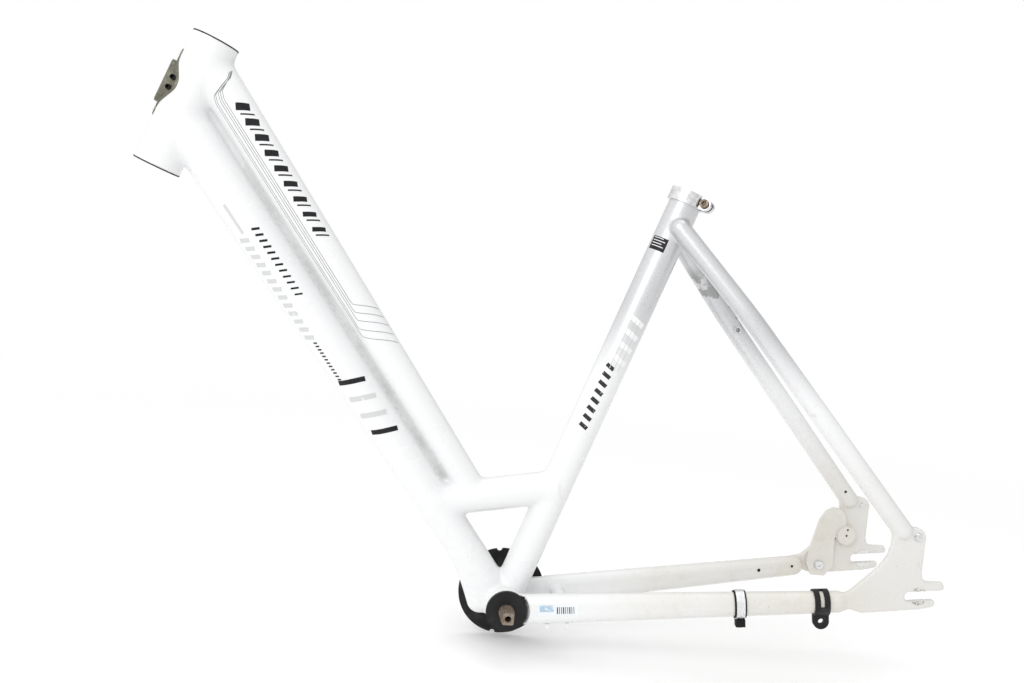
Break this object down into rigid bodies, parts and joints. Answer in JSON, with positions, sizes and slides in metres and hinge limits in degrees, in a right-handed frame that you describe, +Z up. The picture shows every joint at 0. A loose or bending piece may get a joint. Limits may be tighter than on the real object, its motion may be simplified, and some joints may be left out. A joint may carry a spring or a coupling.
{
  "type": "bicycle frame",
  "caption": "Step-through city bicycle frame in white and silver, with twin sloping main tubes, bottom bracket with square spindle, seat clamp and slotted rear dropouts.",
  "frame": {"origin": "middle of the crank spindle, on the bottom bracket's axis", "axes": "+X to the rear, level when ridden; +Y to the right-hand side, where the chain runs; +Z up"},
  "size_m": [0.8959, 0.1626, 0.6254],
  "materials": {
    "paint_white": "gloss",
    "paint_silver": "metallic gloss",
    "black_plastic": "satin",
    "bright_steel": "bright",
    "chrome_clamp": "polished",
    "dull_steel": "dull, lightly rusted",
    "olive_metal": "satin",
    "black_rubber": "matt"
  },
  "bodies": {
    "frame": {"head_tube": "paint_white", "headset_cup_upper": "black_plastic", "headset_cup_lower": "black_plastic", "cable_guide": "olive_metal", "cable_guide_screws": "bright_steel", "top_tube": "paint_white", "down_tube": "paint_white", "tube_web": "paint_white", "brace_tube": "paint_white", "seat_tube": "paint_silver", "bottom_bracket_shell": "paint_white", "bottom_bracket_gusset": "paint_white", "chainstay_left": "paint_white", "chainstay_right": "paint_white", "chainstay_bridge": "paint_white", "seatstay_left": "paint_silver", "seatstay_right": "paint_silver", "dropout_left": "paint_white", "dropout_right": "paint_white", "lock_bosses": "paint_silver", "chain_case_bracket": "paint_white", "chain_case_bracket_bolts": "bright_steel", "eyelet_bolts": "bright_steel", "seat_clamp_collar": "chrome_clamp", "seat_clamp_nut": "dull_steel", "cup_left": "black_plastic", "cup_right": "bright_steel", "cartridge_sleeve": "bright_steel", "bearing_outer_race_left": "bright_steel", "bearing_outer_race_right": "bright_steel", "bearing_seal_left": "black_rubber", "bearing_seal_right": "black_rubber", "chain_guard_plate": "black_plastic", "torque_arm_clip": "black_plastic", "cable_band_strap": "bright_steel", "cable_band_liner": "black_rubber", "cable_band_block": "black_rubber", "cable_band_screw": "bright_steel", "chainstay_cable_guides": "paint_white"},
    "spindle": {"spindle": "dull_steel", "bearing_inner_race_left": "bright_steel", "bearing_inner_race_right": "bright_steel"},
    "balls_left": {"bearing_balls_left": "bright_steel", "bearing_cage_left": "dull_steel"},
    "balls_right": {"bearing_balls_right": "bright_steel", "bearing_cage_right": "dull_steel"},
    "clamp_bolt": {"seat_clamp_bolt": "dull_steel"}
  },
  "joints": [
    {"name": "spindle_turn", "type": "hinge", "parent": "frame", "child": "spindle", "pos_m": [0, 0, 0], "axis": [0, 1, 0], "continuous": true},
    {"name": "balls_left_turn", "type": "hinge", "parent": "frame", "child": "balls_left", "pos_m": [0, -0.022, 0], "axis": [0, 1, 0], "continuous": true},
    {"name": "balls_right_turn", "type": "hinge", "parent": "frame", "child": "balls_right", "pos_m": [0, 0.022, 0], "axis": [0, 1, 0], "continuous": true},
    {"name": "clamp_bolt_turn", "type": "hinge", "parent": "frame", "child": "clamp_bolt", "pos_m": [0.1716, -0.01417, 0.45405], "axis": [-0.5577, -0.809, 0.1855], "continuous": true}
  ],
  "couplings": [
    {"joint": "balls_left_turn", "follows": "spindle_turn", "ratio": 0.41},
    {"joint": "balls_right_turn", "follows": "spindle_turn", "ratio": 0.41}
  ]
}
